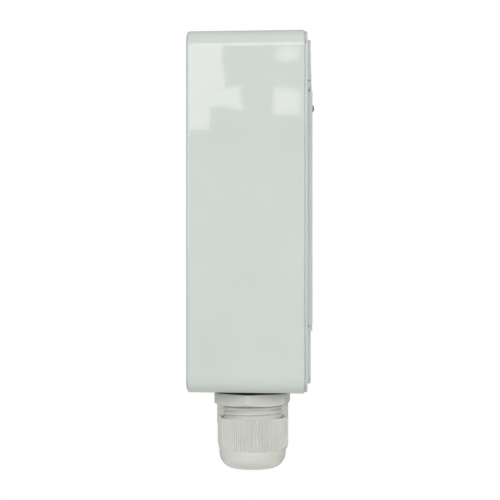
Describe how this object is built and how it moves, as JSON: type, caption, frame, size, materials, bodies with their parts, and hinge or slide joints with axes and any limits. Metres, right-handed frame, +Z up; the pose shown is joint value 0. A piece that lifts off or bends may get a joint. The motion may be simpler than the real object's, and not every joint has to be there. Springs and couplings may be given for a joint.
{
  "type": "dc combiner box",
  "caption": "Grey wall-mounted plastic box with a hinged front flap and cable glands below, holding fuses and busbars that join DC inputs into a single output.",
  "frame": {"origin": "centre of the back face, on the wall", "axes": "+Y into the wall, so the front faces -Y; +Z up; +X to the right as one faces the front"},
  "size_m": [0.145, 0.0623, 0.2136],
  "materials": {
    "grey_abs": "moulded, glossy",
    "grey_silicone": "matt",
    "zinc_steel": "zinc plated",
    "dark_steel": "turned, satin",
    "grey_polyamide": "moulded, satin",
    "black_rubber": "matt",
    "backing_board": "pressed laminate",
    "black_phenolic": "moulded",
    "red_phenolic": "moulded",
    "copper": "bare copper, rolled",
    "tinned_copper": "tin plated copper",
    "brass": "turned",
    "fuse_plastic": "moulded",
    "clear_polycarbonate": "clear sheet"
  },
  "bodies": {
    "enclosure": {"base_shell": "grey_abs", "cover": "grey_abs", "screw_plug_1": "grey_abs", "screw_plug_2": "grey_abs", "screw_plug_3": "grey_abs", "screw_plug_4": "grey_abs", "cover_gasket": "grey_silicone", "cover_screw_1": "zinc_steel", "cover_screw_2": "zinc_steel", "cover_screw_3": "zinc_steel", "cover_screw_4": "zinc_steel", "plate_screw_1": "zinc_steel", "plate_screw_2": "zinc_steel", "plate_screw_3": "zinc_steel", "plate_screw_4": "zinc_steel", "hinge_pin_left": "zinc_steel", "hinge_pin_right": "zinc_steel", "terminal_bolt_1": "zinc_steel", "terminal_bolt_2": "zinc_steel", "terminal_bolt_3": "zinc_steel", "terminal_bolt_4": "zinc_steel", "terminal_bolt_5": "zinc_steel", "terminal_bolt_6": "zinc_steel", "terminal_bolt_7": "zinc_steel", "terminal_bolt_8": "zinc_steel", "gland_body_left": "grey_polyamide", "gland_locknut_left": "grey_polyamide", "gland_body_centre": "grey_polyamide", "gland_locknut_centre": "grey_polyamide", "gland_body_right": "grey_polyamide", "gland_locknut_right": "grey_polyamide", "gland_washer_left": "black_rubber", "gland_washer_centre": "black_rubber", "gland_washer_right": "black_rubber", "mounting_plate": "backing_board", "fuse_base_left": "black_phenolic", "fuse_base_right": "black_phenolic", "negative_block": "black_phenolic", "thumb_nut_left": "black_phenolic", "thumb_nut_right": "black_phenolic", "output_post": "red_phenolic", "positive_busbar": "copper", "negative_busbar": "tinned_copper", "guard_post_left": "brass", "guard_post_right": "brass", "strip_fuse_left": "fuse_plastic", "strip_fuse_right": "fuse_plastic", "touch_guard": "clear_polycarbonate"},
    "flap": {"flap_door": "grey_abs"},
    "flap_screw_left": {"flap_screw_left": "dark_steel"},
    "flap_screw_right": {"flap_screw_right": "dark_steel"},
    "seal_left": {"gland_seal_left": "black_rubber"},
    "cap_left": {"gland_cap_left": "grey_polyamide"},
    "seal_centre": {"gland_seal_centre": "black_rubber"},
    "cap_centre": {"gland_cap_centre": "grey_polyamide"},
    "seal_right": {"gland_seal_right": "black_rubber"},
    "cap_right": {"gland_cap_right": "grey_polyamide"}
  },
  "joints": [
    {"name": "flap_hinge", "type": "hinge", "parent": "enclosure", "child": "flap", "pos_m": [0, -0.0592, -0.0563], "axis": [1, 0, 0], "range_deg": [0, 105]},
    {"name": "flap_screw_turn_left", "type": "hinge", "parent": "flap", "child": "flap_screw_left", "pos_m": [-0.042, -0.0605, 0.0516], "axis": [0, -1, 0], "range_deg": [0, 90]},
    {"name": "flap_screw_turn_right", "type": "hinge", "parent": "flap", "child": "flap_screw_right", "pos_m": [0.042, -0.0605, 0.0516], "axis": [0, -1, 0], "range_deg": [0, 90]},
    {"name": "seal_slide_left", "type": "slide", "parent": "enclosure", "child": "seal_left", "axis": [0, 0, 1], "range_m": [-0.0035, 0.0045]},
    {"name": "cap_turn_left", "type": "hinge", "parent": "seal_left", "child": "cap_left", "pos_m": [-0.042, -0.0318, -0.1], "axis": [0, 0, 1], "range_deg": [-520, 670]},
    {"name": "seal_slide_centre", "type": "slide", "parent": "enclosure", "child": "seal_centre", "axis": [0, 0, 1], "range_m": [-0.008, 0]},
    {"name": "cap_turn_centre", "type": "hinge", "parent": "seal_centre", "child": "cap_centre", "pos_m": [0, -0.0318, -0.1], "axis": [0, 0, 1], "range_deg": [-1190, 0]},
    {"name": "seal_slide_right", "type": "slide", "parent": "enclosure", "child": "seal_right", "axis": [0, 0, 1], "range_m": [-0.008, 0]},
    {"name": "cap_turn_right", "type": "hinge", "parent": "seal_right", "child": "cap_right", "pos_m": [0.042, -0.0318, -0.1], "axis": [0, 0, 1], "range_deg": [-1190, 0]}
  ],
  "couplings": [
    {"joint": "seal_slide_left", "follows": "cap_turn_left", "m_per_rad": 0.00038197},
    {"joint": "seal_slide_centre", "follows": "cap_turn_centre", "m_per_rad": 0.00038197},
    {"joint": "seal_slide_right", "follows": "cap_turn_right", "m_per_rad": 0.00038197}
  ]
}
